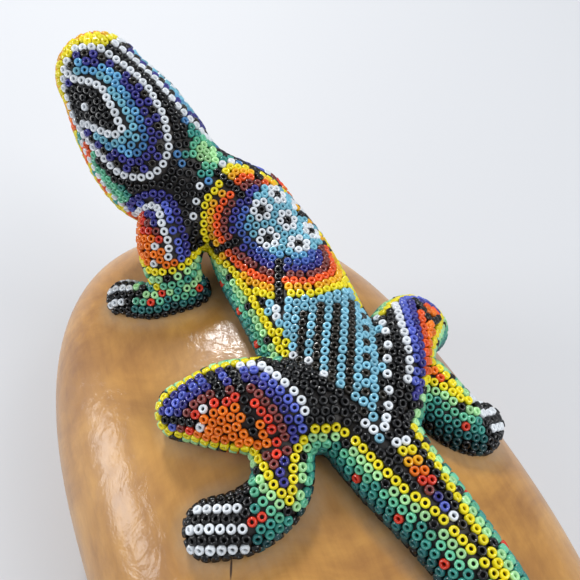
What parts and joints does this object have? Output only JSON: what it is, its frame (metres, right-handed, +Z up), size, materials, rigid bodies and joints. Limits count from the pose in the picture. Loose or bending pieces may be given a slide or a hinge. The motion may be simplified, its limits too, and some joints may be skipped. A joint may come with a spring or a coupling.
{
  "type": "beaded lizard figure",
  "caption": "Lizard figure covered all over in small ring-shaped glass beads set in wax, lying with raised head on a smooth varnished wooden lump; stands as an ornament.",
  "frame": {"origin": "middle of the bounding box, at the level of the base's flat underside", "axes": "+Z up; +Y along the lizard towards its head, the longest side; +X to the right of the lizard"},
  "size_m": [0.1152, 0.2158, 0.1202],
  "materials": {
    "base_wood": "honey-brown wood, sanded and glossy varnished, fine long grain with mottled lighter patches",
    "carving_wood": "bare carved wood, hidden under the wax",
    "peg_wood": "round wooden pegs, hidden",
    "beeswax": null,
    "black_glass": "opaque glossy black glass seed beads, ring shaped with a hole",
    "teal_glass": "opaque glossy seed beads in black, teal, green, mint and pale green rows",
    "blue_glass": "opaque glossy seed beads in rows of turquoise, blue, navy, black and white",
    "light_blue_glass": "opaque glossy seed beads, light blue with rows of other colours around",
    "orange_glass": "opaque glossy seed beads, orange core with red, brown, navy and blue rows",
    "yellow_glass": "opaque glossy yellow seed beads",
    "white_glass": "opaque glossy white seed beads with rows of black and yellow"
  },
  "bodies": {
    "root": {"carved_base": "base_wood", "neck_peg": "peg_wood", "tail_peg": "peg_wood", "left_front_leg_peg": "peg_wood", "right_front_leg_peg": "peg_wood", "left_hind_leg_peg": "peg_wood", "right_hind_leg_peg": "peg_wood", "front_base_peg": "peg_wood", "rear_base_peg": "peg_wood", "head_carving": "carving_wood", "trunk_carving": "carving_wood", "tail_carving": "carving_wood", "left_front_leg_carving": "carving_wood", "right_front_leg_carving": "carving_wood", "left_hind_leg_carving": "carving_wood", "right_hind_leg_carving": "carving_wood", "head_wax": "beeswax", "trunk_wax": "beeswax", "tail_wax": "beeswax", "left_front_leg_wax": "beeswax", "right_front_leg_wax": "beeswax", "left_hind_leg_wax": "beeswax", "right_hind_leg_wax": "beeswax", "left_flank_border_beads": "teal_glass", "right_flank_border_beads": "teal_glass", "medallion_beads": "light_blue_glass", "saddle_beads": "light_blue_glass", "back_field_beads": "black_glass", "left_eye_patch_beads": "blue_glass", "right_eye_patch_beads": "blue_glass", "crown_and_jaw_beads": "white_glass", "tail_border_beads": "teal_glass", "tail_diamond_beads": "orange_glass", "tail_ridge_beads": "yellow_glass", "left_front_foot_beads": "white_glass", "left_front_leg_border_beads": "teal_glass", "left_front_leg_motif_beads": "orange_glass", "right_front_foot_beads": "white_glass", "right_front_leg_border_beads": "teal_glass", "right_front_leg_motif_beads": "orange_glass", "left_hind_foot_beads": "white_glass", "left_hind_leg_border_beads": "teal_glass", "left_hind_leg_motif_beads": "orange_glass", "right_hind_foot_beads": "white_glass", "right_hind_leg_border_beads": "teal_glass", "right_hind_leg_motif_beads": "orange_glass"}
  },
  "joints": []
}
